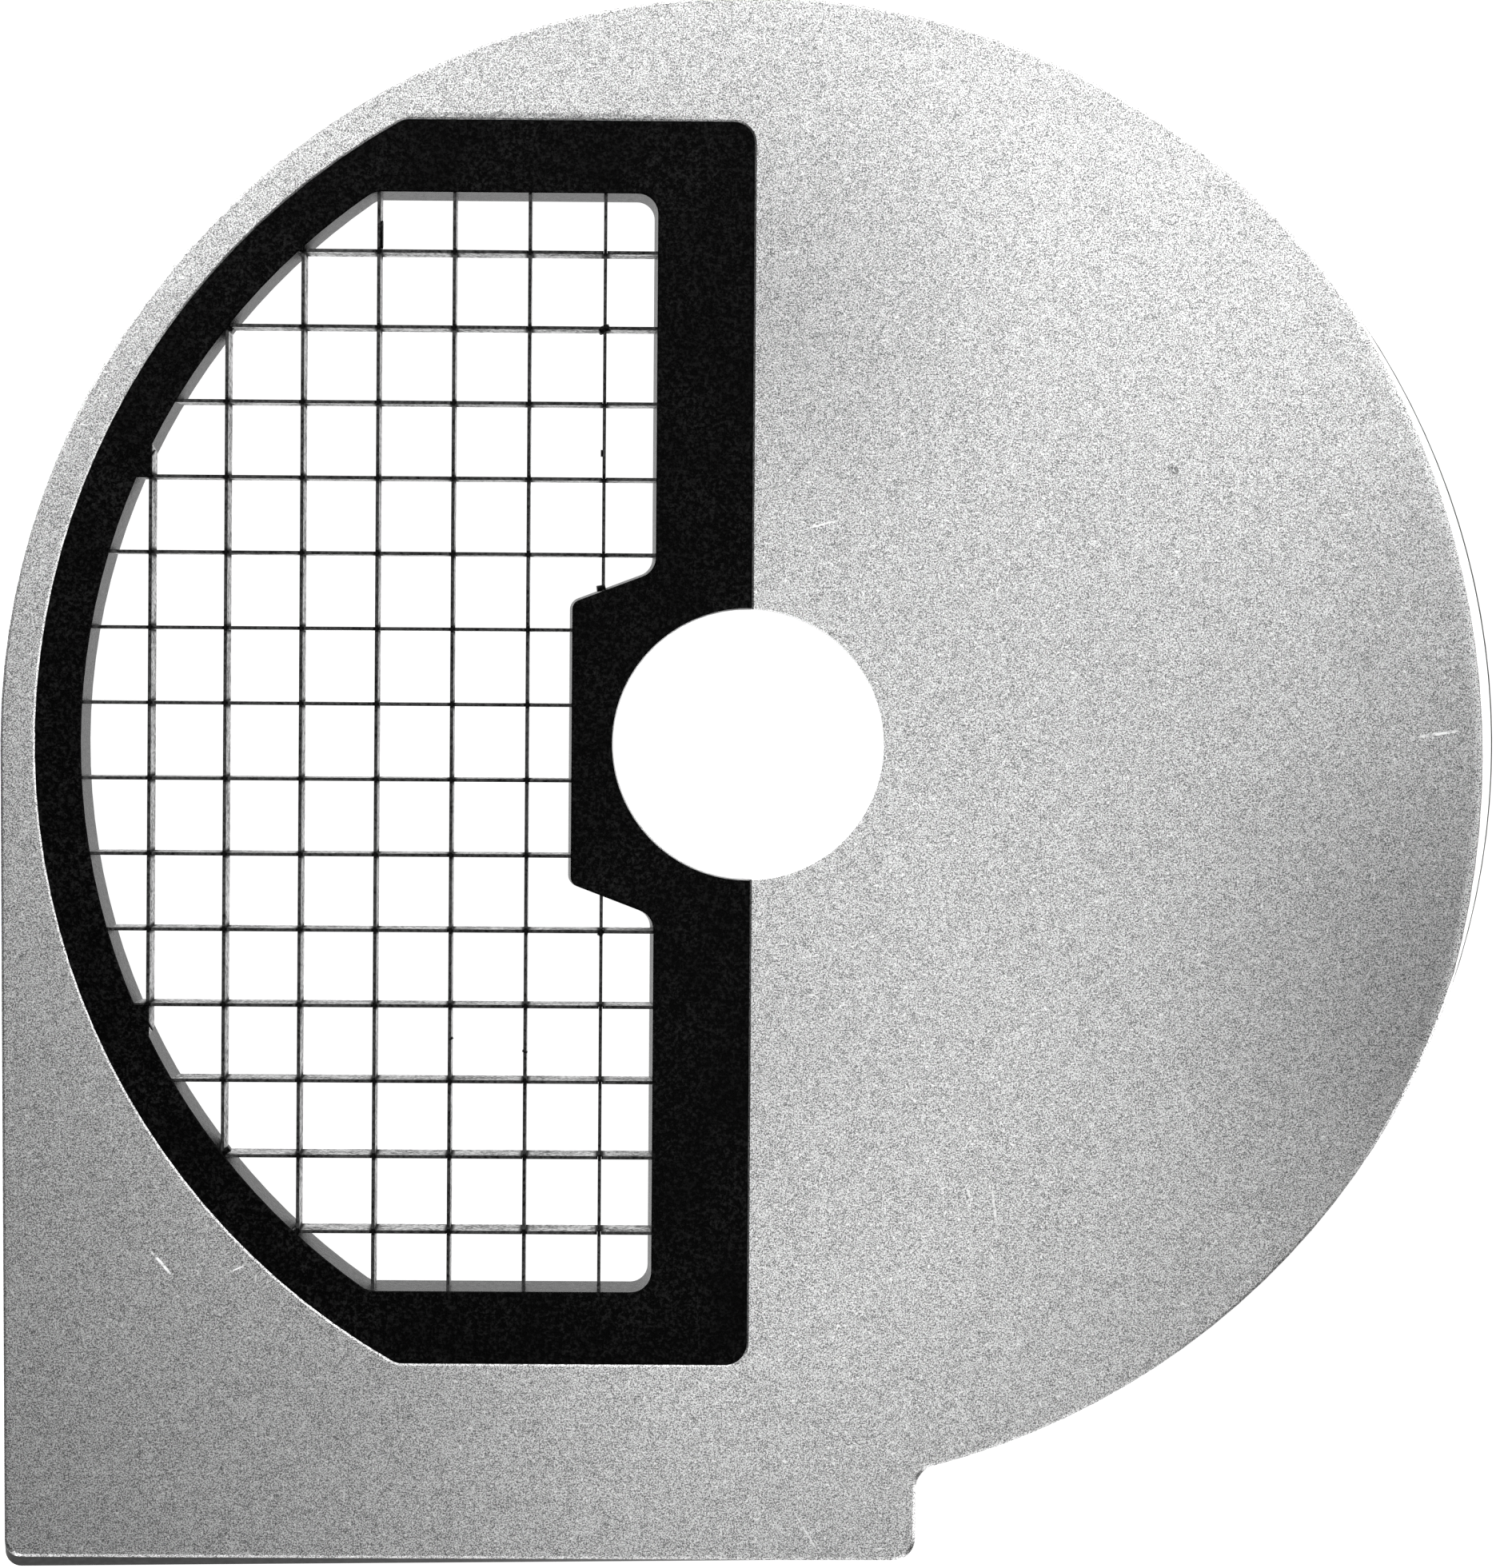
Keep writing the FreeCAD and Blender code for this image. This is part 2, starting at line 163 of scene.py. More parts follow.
def new_material(name):
    """An empty material with its output and Principled shader, and object coordinates."""
    material = bpy.data.materials.new(name)
    material.use_nodes = True
    tree = material.node_tree
    tree.nodes.clear()
    shader = add_node(tree, "ShaderNodeBsdfPrincipled")
    add_node(tree, "ShaderNodeOutputMaterial", {"Surface": shader.outputs["BSDF"]})
    coordinates = add_node(tree, "ShaderNodeTexCoord").outputs["Object"]
    return material, tree, shader, coordinates


def add_node(tree, kind, inputs=None, **settings):
    """Add a node, set its properties, and set or link each of its inputs."""
    node = tree.nodes.new(kind)
    for name, value in settings.items():
        setattr(node, name, value)
    for name, value in (inputs or {}).items():
        socket = node.inputs[name]
        if isinstance(value, bpy.types.NodeSocket):
            tree.links.new(value, socket)
        else:
            socket.default_value = value
    return node


def noise(tree, coordinates, size_mm, detail=2.0, roughness=0.5):
    """A noise value, mostly between 0.3 and 0.7, whose features are about size_mm across."""
    scale = 1 / (size_mm * MM)
    inputs = {"Vector": coordinates, "Scale": scale, "Detail": detail, "Roughness": roughness}
    return add_node(tree, "ShaderNodeTexNoise", inputs).outputs["Fac"]


def remap(tree, value, low, high, new_low, new_high):
    """Map a value from one range to another, held at the ends."""
    inputs = {"Value": value, "From Min": low, "From Max": high, "To Min": new_low, "To Max": new_high}
    return add_node(tree, "ShaderNodeMapRange", inputs).outputs["Result"]


def rising(tree, length, start_mm, end_mm):
    """0 where a length is up to the start, and 1 where it is past the end."""
    return remap(tree, length, start_mm * MM, end_mm * MM, 0, 1)


def falling(tree, length, start_mm, end_mm):
    """1 where a length is up to the start, and 0 where it is past the end."""
    return remap(tree, length, start_mm * MM, end_mm * MM, 1, 0)


def combine(tree, operation, *values):
    """Two or more values joined by the same Math operation."""
    together = values[0]
    for value in values[1:]:
        node = add_node(tree, "ShaderNodeMath", {0: together, 1: value}, operation=operation)
        together = node.outputs[0]
    return together


def blend_values(tree, first, second, first_share):
    """Mix two values; the first has the given share and the second the rest."""
    first_part = combine(tree, "MULTIPLY", first, first_share)
    second_part = combine(tree, "MULTIPLY", second, 1 - first_share)
    return combine(tree, "ADD", first_part, second_part)


def blend_colours(tree, factor, first, second):
    """Mix two colours; each is a socket or a linear RGB value."""
    colours = [c if isinstance(c, bpy.types.NodeSocket) else (*c, 1.0) for c in (first, second)]
    inputs = {"Factor": factor, 6: colours[0], 7: colours[1]}
    return add_node(tree, "ShaderNodeMix", inputs, data_type="RGBA").outputs[2]


def distance_from_axis(tree, coordinates, x_mm, y_mm):
    """Distance from an upright axis."""
    level = {0: coordinates, 1: (1, 1, 0)}
    flat = add_node(tree, "ShaderNodeVectorMath", level, operation="MULTIPLY").outputs[0]
    ends = {0: flat, 1: (x_mm * MM, y_mm * MM, 0)}
    return add_node(tree, "ShaderNodeVectorMath", ends, operation="DISTANCE").outputs["Value"]


def patch_mask(tree, coordinates, ragged_mm, x_mm, y_mm, angle, length_mm, width_mm):
    """1 on a long thin patch of the face, fading at its ragged ends."""
    place = {
        "Vector": coordinates,
        "Location": (x_mm * MM, y_mm * MM, 0),
        "Rotation": (0, 0, math.radians(angle)),
        "Scale": (length_mm * MM / 2, width_mm * MM / 2, 1),
    }
    local = add_node(tree, "ShaderNodeMapping", place, vector_type="TEXTURE").outputs["Vector"]
    reach = distance_from_axis(tree, local, 0, 0)
    inside = remap(tree, reach, 0.6, 1.0, 1, 0)
    broken = remap(tree, noise(tree, coordinates, ragged_mm), 0.4, 0.55, 0.3, 1)
    return combine(tree, "MULTIPLY", inside, broken)


def patches_mask(tree, coordinates, patches, ragged_mm):
    """1 on any of several patches."""
    masks = [patch_mask(tree, coordinates, ragged_mm, *patch) for patch in patches]
    return combine(tree, "MAXIMUM", *masks)


def zones_mask(tree, coordinates, zones):
    """Round zones that fade out softly towards their radius."""
    masks = []
    for x_mm, y_mm, radius_mm, strength in zones:
        distance = distance_from_axis(tree, coordinates, x_mm, y_mm)
        masks.append(remap(tree, distance, 0, radius_mm * MM, strength, 0))
    return combine(tree, "ADD", *masks)


def finish_shader(tree, shader, colour, roughness, height, bump_mm):
    """Link colour, roughness and relief to the shader."""
    bump = {"Height": height, "Distance": bump_mm * MM}
    tree.links.new(colour, shader.inputs["Base Color"])
    tree.links.new(roughness, shader.inputs["Roughness"])
    tree.links.new(add_node(tree, "ShaderNodeBump", bump).outputs["Normal"], shader.inputs["Normal"])


# ------------------------------------------------------------------ materials

# Marks on the plate's face: x and y in millimetres, direction in degrees, length and width in
# millimetres
SCRATCHES = (
    (94.0, 2.0, 9.0, 9.0, 0.5),
    (-79.5, -71.4, -49.0, 5.8, 0.5),
    (-69.4, -72.1, 25.0, 4.0, 0.25),
    (34.2, -63.8, 97.0, 7.5, 0.5),
    (30.7, -61.4, -69.0, 2.4, 0.4),
    (8.7, -107.7, -59.0, 7.3, 0.35),
    (9.3, 29.9, 16.0, 9.5, 0.26),
    (79.0, -53.3, 40.0, 1.0, 0.7),
    (59.5, -77.8, -20.0, 0.8, 0.6),
)
# A dirty dent, and a painted shadow on the face along the back of the frame
DENT_AND_SHADOW_MARKS = (
    (57.9, 37.8, -35.0, 2.4, 1.2),
    (-29.0, 85.35, 0.0, 48.0, 1.2),
)
# Painted shade: round zones where the face is painted darker to stand in for shade; x, y and radius in
# millimetres, and strength
PAINTED_SHADE_ZONES = (
    (106, -34, 50, 0.42),
    (102, 24, 26, 0.14),
    (2, 62, 38, 0.24),
    (3, -44, 34, 0.16),
    (-48, -84, 30, 0.13),
    (84, 12, 5, 0.14),
)
# The slope worn into the rim is a cone about an axis left of the hub
WORN_AXIS_MM = (-12.97, -1.82)
WORN_RADIUS_MM = 113.3
# It is on the right only, and starts between these two x
WORN_START_X_MM = (50, 60)
# Width of a painted highlight band on the face just inside the worn slope
HIGHLIGHT_BAND_WIDTH_MM = 1.2
RIM_LIP_MM = 101.8
BORE_RADIUS_MM = 18.45
# Blasting reaches this far down the rounded edges of the face
SOFT_EDGE_MM = 0.27
# Grain of the blasted face: clusters and peened spots are this many pits wide
CLUSTER_PITS = 5
PEENED_PITS = 2.2
PIT_SHARE = 0.85
# Strength of the dent's dirt and of the painted shadow along the frame
GRIME_AND_SHADOW_STRENGTH = 0.6
# How much each surface differs in roughness from the blasted face
SKIN_ROUGHER = 0.25
SCRATCH_ROUGHER = 0.2
BARE_SMOOTHER = 0.12


def casting_regions(tree, coordinates):
    """Masks of the plate's walls, whose colour is partly as-cast skin and partly painted shade,
    its bare metal, and the band beside the worn slope that carries a painted highlight.

    One surface goes over into the next within 0.05 to 0.2 mm.
    """
    places = add_node(tree, "ShaderNodeSeparateXYZ", {"Vector": coordinates})
    skin_top_mm = CAD_BOX[1][2] / MM - SOFT_EDGE_MM
    skin = falling(tree, places.outputs["Z"], skin_top_mm - 0.08, skin_top_mm)
    on_right = rising(tree, places.outputs["X"], *WORN_START_X_MM)
    from_worn_axis = distance_from_axis(tree, coordinates, *WORN_AXIS_MM)
    slope = rising(tree, from_worn_axis, WORN_RADIUS_MM, WORN_RADIUS_MM + 0.2)
    beside_slope = rising(tree, from_worn_axis, WORN_RADIUS_MM - HIGHLIGHT_BAND_WIDTH_MM, WORN_RADIUS_MM)
    from_hub = distance_from_axis(tree, coordinates, 0, 0)
    within_rim = falling(tree, from_hub, RIM_LIP_MM - 0.05, RIM_LIP_MM)
    bore = falling(tree, from_hub, BORE_RADIUS_MM + 0.1, BORE_RADIUS_MM + 0.15)
    bare = combine(tree, "MAXIMUM", combine(tree, "MULTIPLY", slope, within_rim, on_right), bore)
    return skin, bare, combine(tree, "MULTIPLY", beside_slope, on_right)


def blasted_cast_aluminium(settings):
    """Die-cast aluminium blasted with grit.

    Its face is grainy with tiny pits, with painted shade in soft round zones, a painted
    shadow along the back of the frame and a painted highlight in a band beside the worn slope.
    Its walls are darker, partly as cast skin and partly as painted shade, and the
    turned bore and the worn slope are bare and light.
    """
    material, tree, shader, coordinates = new_material("blasted_cast_aluminium")
    skin, bare, beside_slope = casting_regions(tree, coordinates)
    on_face = remap(tree, skin, 0, 1, 1, 0)

    pits = noise(tree, coordinates, settings.grit_mm, detail=1.0)
    clusters = noise(tree, coordinates, settings.grit_mm * CLUSTER_PITS, detail=2.0)
    grain = blend_values(tree, pits, clusters, PIT_SHARE)
    spots = noise(tree, coordinates, settings.grit_mm * PEENED_PITS, detail=0.0)
    peened = remap(tree, spots, 0.74, 0.8, 0, 1)
    # Painted shade: soft round zones of the face are darkened
    painted_shade = zones_mask(tree, coordinates, PAINTED_SHADE_ZONES)
    blasted = blend_colours(tree, remap(tree, grain, 0.36, 0.62, 0, 1), settings.pit, settings.metal)
    blasted = blend_colours(tree, peened, blasted, settings.worn)
    blasted = blend_colours(tree, painted_shade, blasted, settings.dirt_and_shade)
    # Walls: as-cast skin, painted darker as shade on the side walls
    cast = blend_colours(tree, remap(tree, clusters, 0.35, 0.65, 0, 0.6), settings.skin, settings.dirt_and_shade)
    colour = blend_colours(tree, skin, blasted, cast)

    # A dirty dent, and painted shadow on the face along the back edge of the frame
    grime_and_shadow = patches_mask(tree, coordinates, DENT_AND_SHADOW_MARKS, ragged_mm=0.5)
    grime_and_shadow = combine(tree, "MULTIPLY", grime_and_shadow, on_face, GRIME_AND_SHADOW_STRENGTH)
    colour = blend_colours(tree, grime_and_shadow, colour, settings.dirt_and_shade)
    scratches = patches_mask(tree, coordinates, SCRATCHES, ragged_mm=0.8)
    scratches = combine(tree, "MULTIPLY", scratches, on_face)
    # Painted highlight: the pits' high spots in a band beside the worn slope take the worn colour
    high_spots = remap(tree, pits, 0.4, 0.55, 0, 1)
    highlight_band = combine(tree, "MULTIPLY", beside_slope, on_face, high_spots)
    # Scratches, bare metal and the painted highlight band take the worn colour
    wear_and_highlight = combine(tree, "MAXIMUM", scratches, highlight_band, bare)
    colour = blend_colours(tree, wear_and_highlight, colour, settings.worn)

    rough = remap(tree, skin, 0, 1, settings.roughness, settings.roughness + SKIN_ROUGHER)
    rough = combine(tree, "SUBTRACT", rough, combine(tree, "MULTIPLY", bare, BARE_SMOOTHER))
    rough = combine(tree, "ADD", rough, combine(tree, "MULTIPLY", scratches, SCRATCH_ROUGHER))
    relief = combine(tree, "MULTIPLY", grain, remap(tree, bare, 0, 1, 1, 0))
    finish_shader(tree, shader, colour, rough, relief, bump_mm=0.006)
    shader.inputs["Metallic"].default_value = 1.0
    return material


NYLON_IOR = 1.53
# The fine texture of the moulding traps most of the light that bare nylon would reflect
NYLON_GLOSS = 0.028
# Flecks are stronger in some places than in others, in zones of this size
FLECK_ZONE_MM = 9.0
# Flecks are rougher, and what lies between them smoother, by this much
FLECK_ROUGHER = 0.06


def glass_filled_nylon(settings):
    """Black nylon with glass fibre, injection moulded: matt, with faint paler flecks of fibre."""
    material, tree, shader, coordinates = new_material("glass_filled_nylon")
    flecks = noise(tree, coordinates, settings.fibre_mm, detail=3.0, roughness=0.7)
    zones = noise(tree, coordinates, FLECK_ZONE_MM, detail=2.0)
    strength = remap(tree, zones, 0.35, 0.65, 0.5, 1.1)
    amount = combine(tree, "MULTIPLY", remap(tree, flecks, 0.48, 0.72, 0, 1), strength)
    colour = blend_colours(tree, amount, settings.body, settings.fibre)
    smoothest = settings.roughness - FLECK_ROUGHER
    roughest = settings.roughness + FLECK_ROUGHER
    rough = remap(tree, flecks, 0.3, 0.7, smoothest, roughest)
    finish_shader(tree, shader, colour, rough, flecks, bump_mm=0.04)
    shader.inputs["IOR"].default_value = NYLON_IOR
    shader.inputs["Specular IOR Level"].default_value = NYLON_GLOSS
    return material


# Rolling lines run this far before they fade, and lie this far apart
LINE_LENGTH_MM = 12
LINE_PITCH_MM = 0.15
# Stains are small specks gathered in wide blotches
SPECK_MM = 0.55
BLOTCH_MM = 5.0
SPECK_SHARE = 0.75
# Painted shade on the blade tops starts at one depth below the top of a blade and is full from the
# other up
TOP_SHADE_START_MM = 0.6
TOP_SHADE_FULL_MM = 0.2
# Painted shade at a crossing is full up to one distance from its middle and gone at the other
CROSSING_SHADE_FULL_MM = 0.45
CROSSING_SHADE_END_MM = 0.9


def rolled_stainless(settings, name, along, first_crossing):
    """Stainless strip: rolling lines along it, stain specks, and painted shade on its top and where
    strips cross.

    The strip runs along axis 0 (X) or 1 (Y), where its first crossing has the given place.
    """
    material, tree, shader, coordinates = new_material(name)
    stretch = [1.0, 1.0, 1.0]
    stretch[along] = LINE_PITCH_MM / LINE_LENGTH_MM
    stretched = {"Vector": coordinates, "Scale": stretch}
    lines_at = add_node(tree, "ShaderNodeMapping", stretched).outputs["Vector"]
    lines = noise(tree, lines_at, LINE_PITCH_MM, detail=1.0)
    specks = noise(tree, coordinates, SPECK_MM, detail=2.0, roughness=0.6)
    blotches = noise(tree, coordinates, BLOTCH_MM, detail=1.0)
    mottle = blend_values(tree, specks, blotches, SPECK_SHARE)

    places = add_node(tree, "ShaderNodeSeparateXYZ", {"Vector": coordinates})
    top_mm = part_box("long_blade_4")[1].z / MM
    # Painted shade: the top of each blade is darkened towards the stain colour
    near_top = rising(tree, places.outputs["Z"], top_mm - TOP_SHADE_START_MM, top_mm - TOP_SHADE_FULL_MM)
    top_shade = combine(tree, "MULTIPLY", near_top, remap(tree, mottle, 0.35, 0.62, 1.0, 0.93))
    residue = remap(tree, mottle, 0.45, 0.54, 0.85, 0.0)
    # Painted shade: a patch around each crossing of the strips is darkened
    pitch = middle_of("long_blade_2").x - middle_of("long_blade_3").x
    past_first = combine(tree, "SUBTRACT", places.outputs[along], first_crossing)
    from_crossing = combine(tree, "PINGPONG", past_first, pitch / 2)
    crossing_shade = falling(tree, from_crossing, CROSSING_SHADE_FULL_MM, CROSSING_SHADE_END_MM)
    shade_and_residue = combine(tree, "MAXIMUM", top_shade, residue, crossing_shade)

    clean = blend_colours(tree, remap(tree, lines, 0.3, 0.7, 0.0, 0.25), settings.strip, settings.stain)
    colour = blend_colours(tree, shade_and_residue, clean, settings.stain)
    rough = remap(tree, shade_and_residue, 0, 1, settings.roughness, settings.roughness + 0.3)
    finish_shader(tree, shader, colour, rough, lines, bump_mm=0.002)
    # Stains and painted shade hide the metal and are duller than it
    tree.links.new(remap(tree, shade_and_residue, 0, 1, 1.0, 0.35), shader.inputs["Metallic"])
    tree.links.new(remap(tree, shade_and_residue, 0, 1, 0.5, 0.03), shader.inputs["Specular IOR Level"])
    return material


# Width of the marks that turning leaves
TOOL_MARK_MM = 0.4


def turned_metal(name, colour, base_roughness):
    """Turned metal of small fasteners: fine tool marks that catch the light."""
    material, tree, shader, coordinates = new_material(name)
    marks = noise(tree, coordinates, TOOL_MARK_MM, detail=2.0)
    darker = [channel * 0.5 for channel in colour]
    marked = blend_colours(tree, remap(tree, marks, 0.4, 0.7, 0.0, 0.35), colour, darker)
    rough = remap(tree, marks, 0.3, 0.7, base_roughness - 0.06, base_roughness + 0.08)
    finish_shader(tree, shader, marked, rough, marks, bump_mm=0.01)
    shader.inputs["Metallic"].default_value = 1.0
    return material


# Faint clouds in the panel's colour
HAZE_MM = 60.0


def opal_panel(settings):
    """Opal acrylic lit from below, like a light table: even and matt, with a faint haze."""
    material, tree, shader, coordinates = new_material("opal_acrylic")
    haze = noise(tree, coordinates, HAZE_MM, detail=2.0)
    paler = [channel * 1.1 for channel in settings.floor]
    colour = blend_colours(tree, remap(tree, haze, 0.3, 0.7, 0, 1), settings.floor, paler)
    tree.links.new(colour, shader.inputs["Base Color"])
    shader.inputs["Roughness"].default_value = 0.9
    shader.inputs["Emission Color"].default_value = (1, 1, 1, 1)
    shader.inputs["Emission Strength"].default_value = settings.floor_glow
    return material


def middle_of(node):
    """Middle of a node's box."""
    low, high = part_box(node)
    return (Vector(low) + Vector(high)) / 2


def wear(node, material):
    """Give a carried-over node its material."""
    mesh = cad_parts[node].data
    mesh.materials.clear()
    mesh.materials.append(material)


# ------------------------------------------------------------------ operators


class DICER_OT_casting(bpy.types.Operator):
    """Finish the carrier plate as blasted cast aluminium"""

    bl_idname = "dicer.casting"
    bl_label = "Finish Casting"

    def execute(self, context):
        wear("carrier_plate", blasted_cast_aluminium(context.scene.dicer_casting))
        return {"FINISHED"}


class DICER_OT_grid_frame(bpy.types.Operator):
    """Finish the grid frame as black glass-filled nylon"""

    bl_idname = "dicer.grid_frame"
    bl_label = "Finish Grid Frame"

    def execute(self, context):
        wear("grid_frame", glass_filled_nylon(context.scene.dicer_nylon))
        return {"FINISHED"}


# Black chips at the blades: moulding flash, and dark chips that stand in for the shade at
# blade crossings; x, y, length and width in millimetres, and direction in degrees
FLASH_AND_SHADE_BITS = (
    (-50.42, 69.2, 3.9, 0.5, 90),
    (-20.0, 56.5, 1.7, 1.2, 20),
    (-71.1, 56.2, 1.2, 0.8, -30),
    (-70.9, -56.0, 1.3, 0.9, 35),
    (-20.2, 21.2, 1.3, 0.9, 10),
    (-19.9, -25.9, 1.1, 0.8, 60),
    (-81.5, 39.0, 1.5, 0.36, 60),
    (-81.4, -38.9, 1.7, 0.36, -60),
    (-20.2, 39.6, 1.0, 0.4, 90),
    (-40.3, -40.5, 0.7, 0.4, 30),
    (-30.2, -42.2, 0.8, 0.4, -20),
    (-60.8, 71.3, 1.2, 0.4, 35),
)
FLASH_BOTTOM_MM = 12.2
FLASH_TOP_MM = 13.42
# A chip's top against its foot, and its blunt edges and its unevenness against its size
FLASH_TOP_SHARE = (0.75, 0.6, 1)
FLASH_BLUNTNESS = 0.14
FLASH_UNEVENNESS = 0.35


class DICER_OT_flash_and_shade_chips(bpy.types.Operator):
    """Model thin black nylon chips at the blades: moulding flash, and dark chips standing in for shade
    at crossings
    """

    bl_idname = "dicer.mould_flash"
    bl_label = "Model Mould Flash"

    def execute(self, context):
        bit = self.make_bit()
        copies = [self.place_copy(bit, *place) for place in FLASH_AND_SHADE_BITS]
        bpy.ops.object.select_all(action="DESELECT")
        bit.select_set(True)
        bpy.ops.object.delete()
        for copy in copies:
            copy.select_set(True)
        context.view_layer.objects.active = copies[0]
        bpy.ops.object.join()
        flash = context.object
        flash.name = "mould_flash"
        flash.data.materials.append(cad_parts["grid_frame"].data.materials[0])
        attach(flash, BODY)
        return {"FINISHED"}

    def make_bit(self):
        """A chip of one unit each way that thins towards its top, uneven and with blunt edges."""
        bpy.ops.object.select_all(action="DESELECT")
        bpy.ops.mesh.primitive_cube_add(size=1)
        bit = bpy.context.object
        bpy.ops.object.mode_set(mode="EDIT")
        mesh = bmesh.from_edit_mesh(bit.data)
        for part in (*mesh.verts, *mesh.edges, *mesh.faces):
            part.select = False
        for face in mesh.faces:
            if face.normal.z > 0.9:
                face.select_set(True)
        bmesh.update_edit_mesh(bit.data)
        bpy.ops.transform.resize(value=FLASH_TOP_SHARE)
        bpy.ops.mesh.select_all(action="SELECT")
        bpy.ops.mesh.bevel(offset=FLASH_BLUNTNESS, segments=3, affect="EDGES")
        bpy.ops.mesh.subdivide(number_cuts=1, smoothness=0.2, seed=3, fractal=FLASH_UNEVENNESS)
        bpy.ops.mesh.normals_make_consistent(inside=False)
        bpy.ops.object.mode_set(mode="OBJECT")
        bpy.ops.object.shade_smooth_by_angle(angle=math.radians(40))
        return bit

    def place_copy(self, bit, x_mm, y_mm, length_mm, width_mm, turn):
        """A copy of the chip at its place, with its own mesh."""
        bpy.ops.object.select_all(action="DESELECT")
        bit.select_set(True)
        bpy.context.view_layer.objects.active = bit
        bpy.ops.object.duplicate(linked=False)
        copy = bpy.context.object
        middle_mm = (FLASH_BOTTOM_MM + FLASH_TOP_MM) / 2
        copy.location = Vector((x_mm, y_mm, middle_mm)) * MM
        copy.rotation_euler = (0, 0, math.radians(turn))
        copy.scale = Vector((length_mm, width_mm, FLASH_TOP_MM - FLASH_BOTTOM_MM)) * MM
        bpy.ops.object.transform_apply(location=True, rotation=True, scale=True)
        return copy


class DICER_OT_blades(bpy.types.Operator):
    """Finish all blades as rolled stainless strip"""

    bl_idname = "dicer.blades"
    bl_label = "Finish Blades"

    def execute(self, context):
        settings = context.scene.dicer_steel
        first_cross = middle_of("cross_blade_01").y
        first_long = middle_of("long_blade_1_back").x
        finishes = {
            "long_blade": rolled_stainless(settings, "rolled_stainless_long", 1, first_cross),
            "cross_blade": rolled_stainless(settings, "rolled_stainless_cross", 0, first_long),
        }
        for node in sorted(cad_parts):
            for prefix, material in finishes.items():
                if node.startswith(prefix):
                    wear(node, material)
        return {"FINISHED"}


class DICER_OT_fasteners(bpy.types.Operator):
    """Finish the screws as stainless steel and the inserts as turned brass"""

    bl_idname = "dicer.fasteners"
    bl_label = "Finish Fasteners"

    def execute(self, context):
        settings = context.scene.dicer_steel
        wear("frame_screws", turned_metal("machined_stainless", settings.strip, 0.28))
        wear("frame_inserts", turned_metal("turned_brass", settings.brass, 0.3))
        return {"FINISHED"}


def facing(backwards):
    """Axes of something that looks against a direction.

    Its width lies level when it is less than 30 degrees above the plate, so that it
    stands up straight, and along X when it is higher.
    """
    z = Vector(backwards).normalized()
    is_low = z.z < 0.5
    upright = Vector((0, 0, 1)) if is_low else Vector((0, 1, 0))
    right = upright.cross(z).normalized()
    return Matrix((right, z.cross(right), z)).transposed()


# From the middle of the hub to each soft box
LIGHT_DISTANCE = 1.25
# Soft boxes: name, direction towards the box, width, height, radiance
SOFT_BOXES = (
    ("overhead_strip", (0.160, 0.234, 1.0), 0.08, 0.38, 10.2),
    ("overhead_fill", (0.038, -0.114, 1.0), 0.09, 0.22, 7.3),
    ("window_light", (-0.71, 0.71, 1.0), 1.25, 0.73, 10.0),
    ("rim_light", (0.966, 0.26, 0.20), 2.60, 0.65, 2.4),
    ("front_light", (0.0, -1.0, 0.42), 1.60, 0.40, 2.4),
    ("back_light", (0.05, 1.0, 0.22), 1.50, 0.45, 2.4),
)
FLOOR_SIZE = 8.0
# The floor lies just under the plate, so that the two never share a face
FLOOR_GAP_MM = 0.1
# The camera's place and the point it looks at on the working face, from the middle of the hub
CAMERA_PLACE = (-0.020, 0.0111)
CAMERA_TARGET = (0.0003, -0.0054)
CAMERA_ROLL_DEGREES = 0.4
ROOM_LIGHT = 0.06
WALL_BRIGHTNESS = 0.95


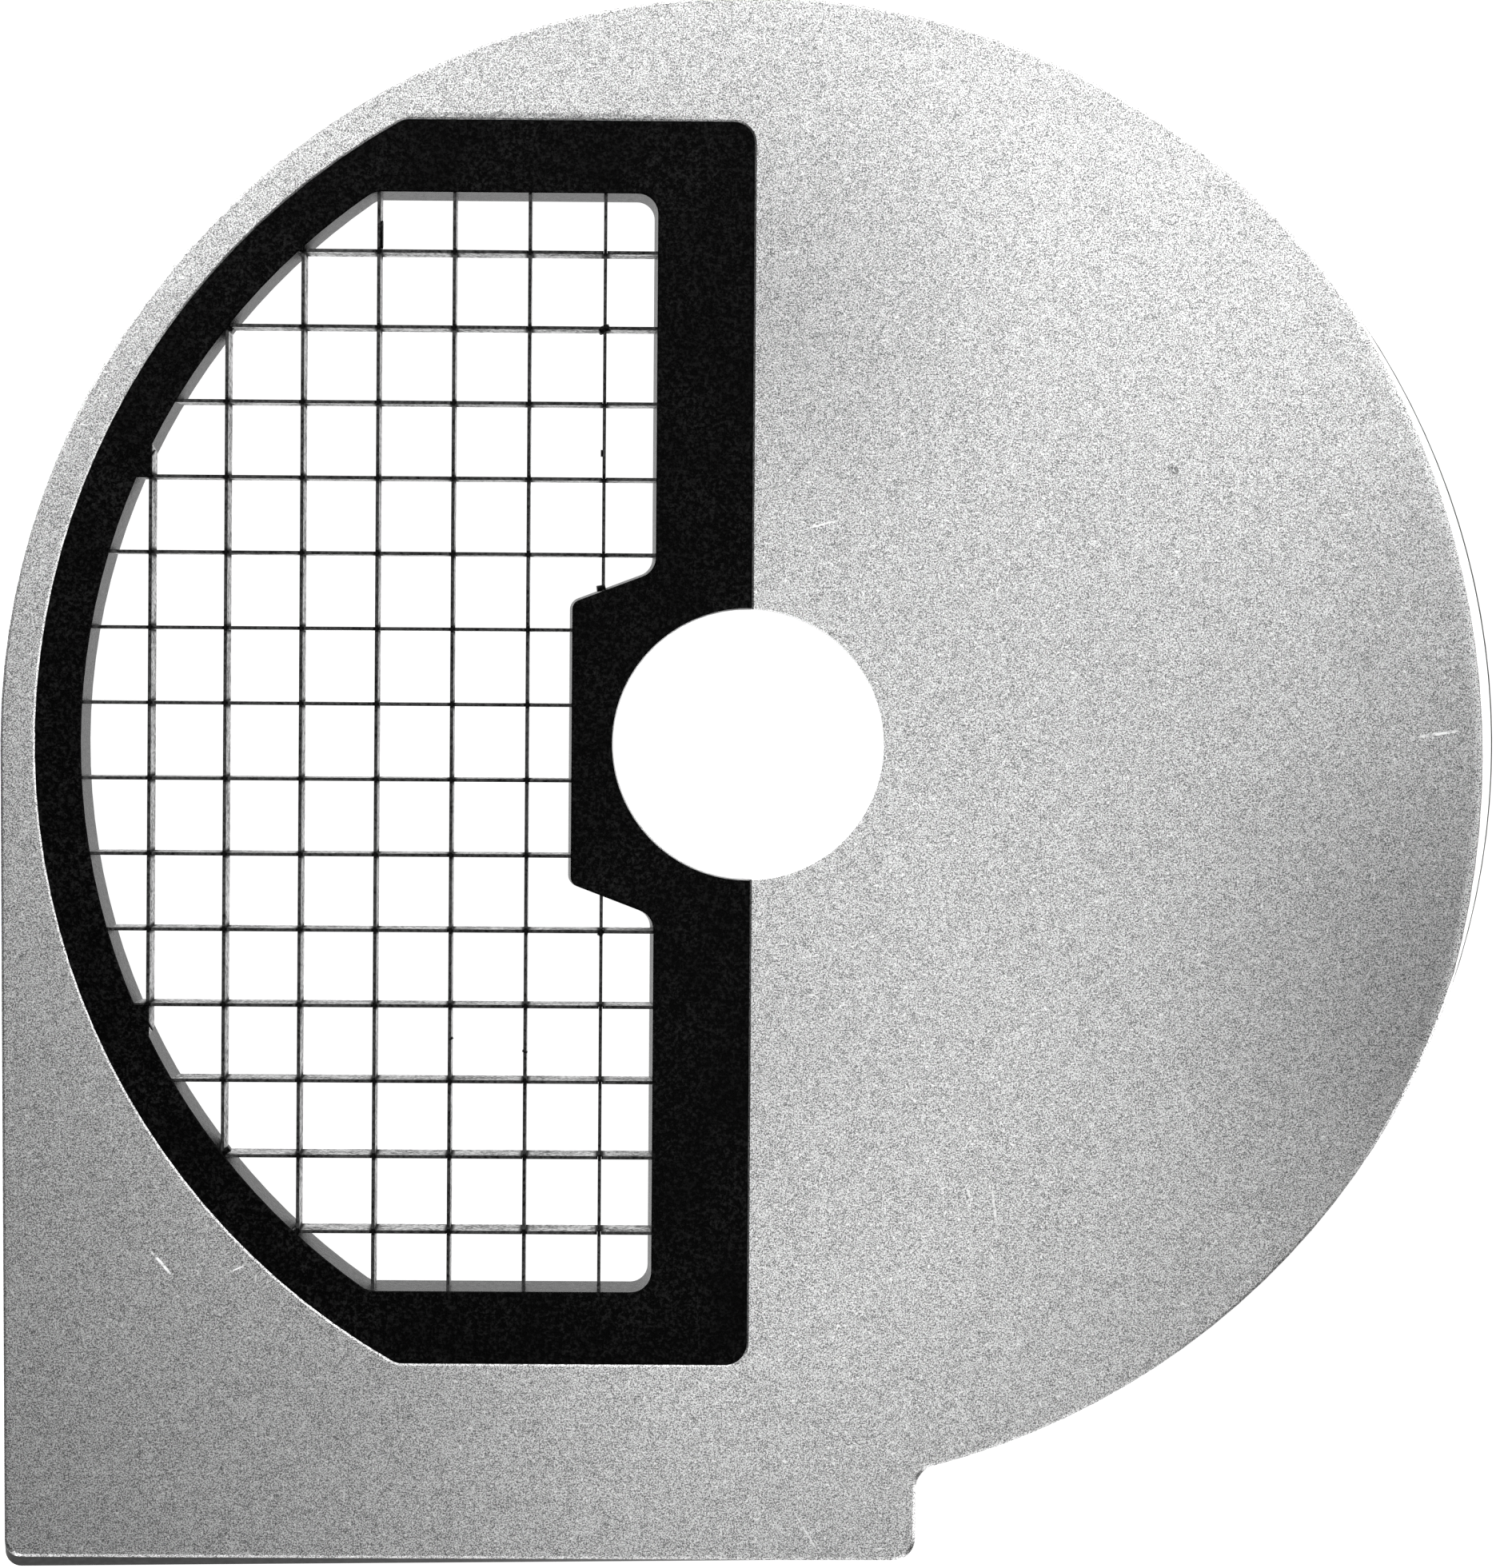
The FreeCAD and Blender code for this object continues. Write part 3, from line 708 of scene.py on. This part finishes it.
class DICER_OT_stage(bpy.types.Operator):
    """Set up the pale floor, the soft boxes and the camera above the plate"""

    bl_idname = "dicer.stage"
    bl_label = "Set Up Stage"

    def execute(self, context):
        settings = context.scene.dicer_stage
        bpy.ops.object.select_all(action="DESELECT")
        floor_height = CAD_BOX[0][2] - FLOOR_GAP_MM * MM
        bpy.ops.mesh.primitive_plane_add(size=FLOOR_SIZE, location=(0, 0, floor_height))
        floor = context.object
        floor.name = "floor"
        floor.data.materials.append(opal_panel(settings))
        for name, direction, width, height, radiance in SOFT_BOXES:
            self.add_soft_box(name, direction, width, height, radiance * settings.power)
        self.add_camera(settings)
        self.set_world(context.scene)
        return {"FINISHED"}

    def add_soft_box(self, name, direction, width, height, radiance):
        """A rectangular area light that faces the plate."""
        location = Vector(direction).normalized() * LIGHT_DISTANCE
        rotation = facing(direction).to_euler()
        bpy.ops.object.light_add(type="AREA", location=location, rotation=rotation)
        light = bpy.context.object
        light.name = name
        light.data.shape = "RECTANGLE"
        light.data.size = width
        light.data.size_y = height
        # The power in watts of a flat light of that radiance
        light.data.energy = radiance * math.pi * width * height

    def add_camera(self, settings):
        """A long lens straight above the grid, turned a little about its own axis."""
        face = CAD_BOX[1][2]
        target = Vector((*CAMERA_TARGET, face))
        location = Vector((*CAMERA_PLACE, face + settings.camera_height))
        roll = Matrix.Rotation(math.radians(CAMERA_ROLL_DEGREES), 3, "Z")
        rotation = (facing(location - target) @ roll).to_euler()
        bpy.ops.object.camera_add(location=location, rotation=rotation)
        camera = bpy.context.object
        camera.data.sensor_fit = "HORIZONTAL"
        camera.data.lens = camera.data.sensor_width * settings.camera_height / settings.view_width
        camera.data.clip_start = 0.01
        bpy.context.scene.camera = camera

    def set_world(self, scene):
        """Dim room light, seen as a pale wall only where the view looks past the floor."""
        world = bpy.data.worlds.new("studio")
        scene.world = world
        world.use_nodes = True
        tree = world.node_tree
        tree.nodes.clear()
        white = (1, 1, 1, 1)
        room = add_node(tree, "ShaderNodeBackground", {"Color": white, "Strength": ROOM_LIGHT})
        wall = add_node(tree, "ShaderNodeBackground", {"Color": white, "Strength": WALL_BRIGHTNESS})
        seen = add_node(tree, "ShaderNodeLightPath").outputs["Is Camera Ray"]
        both = {0: seen, 1: room.outputs[0], 2: wall.outputs[0]}
        shown = add_node(tree, "ShaderNodeMixShader", both)
        add_node(tree, "ShaderNodeOutputWorld", {"Surface": shown.outputs[0]})
        scene.view_settings.view_transform = "Standard"
        scene.view_settings.look = "None"


class DICER_PT_panel(bpy.types.Panel):
    """Buttons for each step, in the order they are used"""

    bl_idname = "DICER_PT_panel"
    bl_label = "Dicing Grid Plate"
    bl_space_type = "VIEW_3D"
    bl_region_type = "UI"
    bl_category = "Dicing Grid"

    def draw(self, context):
        for operator in OPERATORS:
            self.layout.operator(operator.bl_idname)
        for group_name, group in SETTINGS.items():
            box = self.layout.box()
            box.label(text=group.__doc__)
            for setting in group.__annotations__:
                box.prop(getattr(context.scene, group_name), setting)


SETTINGS = {
    "dicer_casting": CastingSettings,
    "dicer_nylon": NylonSettings,
    "dicer_steel": SteelSettings,
    "dicer_stage": StageSettings,
}
OPERATORS = (
    DICER_OT_casting,
    DICER_OT_grid_frame,
    DICER_OT_flash_and_shade_chips,
    DICER_OT_blades,
    DICER_OT_fasteners,
    DICER_OT_stage,
)


def register():
    """Register the settings, operators and panel."""
    for name, group in SETTINGS.items():
        bpy.utils.register_class(group)
        setattr(bpy.types.Scene, name, bpy.props.PointerProperty(type=group))
    for operator in OPERATORS:
        bpy.utils.register_class(operator)
    bpy.utils.register_class(DICER_PT_panel)


def unregister():
    """Take everything that register added away again."""
    bpy.utils.unregister_class(DICER_PT_panel)
    for operator in reversed(OPERATORS):
        bpy.utils.unregister_class(operator)
    for name, group in reversed(SETTINGS.items()):
        delattr(bpy.types.Scene, name)
        bpy.utils.unregister_class(group)


def main():
    """Finish every piece and set up the stage."""
    register()
    bpy.ops.dicer.casting()
    bpy.ops.dicer.grid_frame()
    bpy.ops.dicer.mould_flash()
    bpy.ops.dicer.blades()
    bpy.ops.dicer.fasteners()
    bpy.ops.dicer.stage()


if __name__ == "__main__":
    main()
